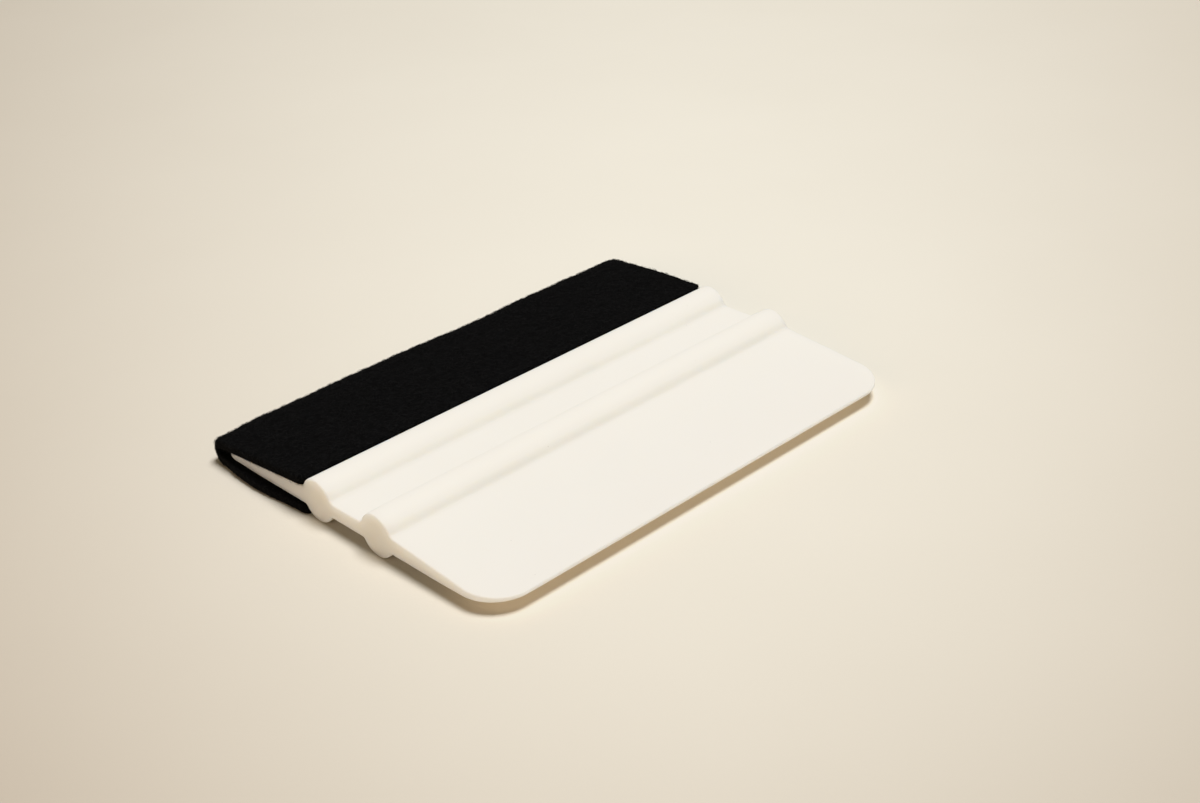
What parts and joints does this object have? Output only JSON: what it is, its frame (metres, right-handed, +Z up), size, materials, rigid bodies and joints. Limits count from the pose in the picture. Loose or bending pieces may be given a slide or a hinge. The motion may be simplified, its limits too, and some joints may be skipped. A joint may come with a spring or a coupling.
{
  "type": "squeegee applicator",
  "caption": "Flat hand squeegee for smoothing self-adhesive film: a tapered plastic blade with round finger beads, a bare hard edge and a felt-wrapped edge.",
  "frame": {"origin": "middle of the footprint, on the surface that the squeegee rests on", "axes": "+X along the two working edges, +Y from the hard edge to the felt edge, +Z up out of the resting surface"},
  "size_m": [0.1, 0.0784, 0.0083],
  "materials": {
    "white_plastic": "satin moulded polypropylene",
    "adhesive": "translucent acrylic adhesive film, dull",
    "black_felt": "pressed black felt, fuzzy"
  },
  "bodies": {
    "root": {"squeegee_body": "white_plastic", "adhesive_film": "adhesive", "felt_strip": "black_felt"}
  },
  "joints": []
}
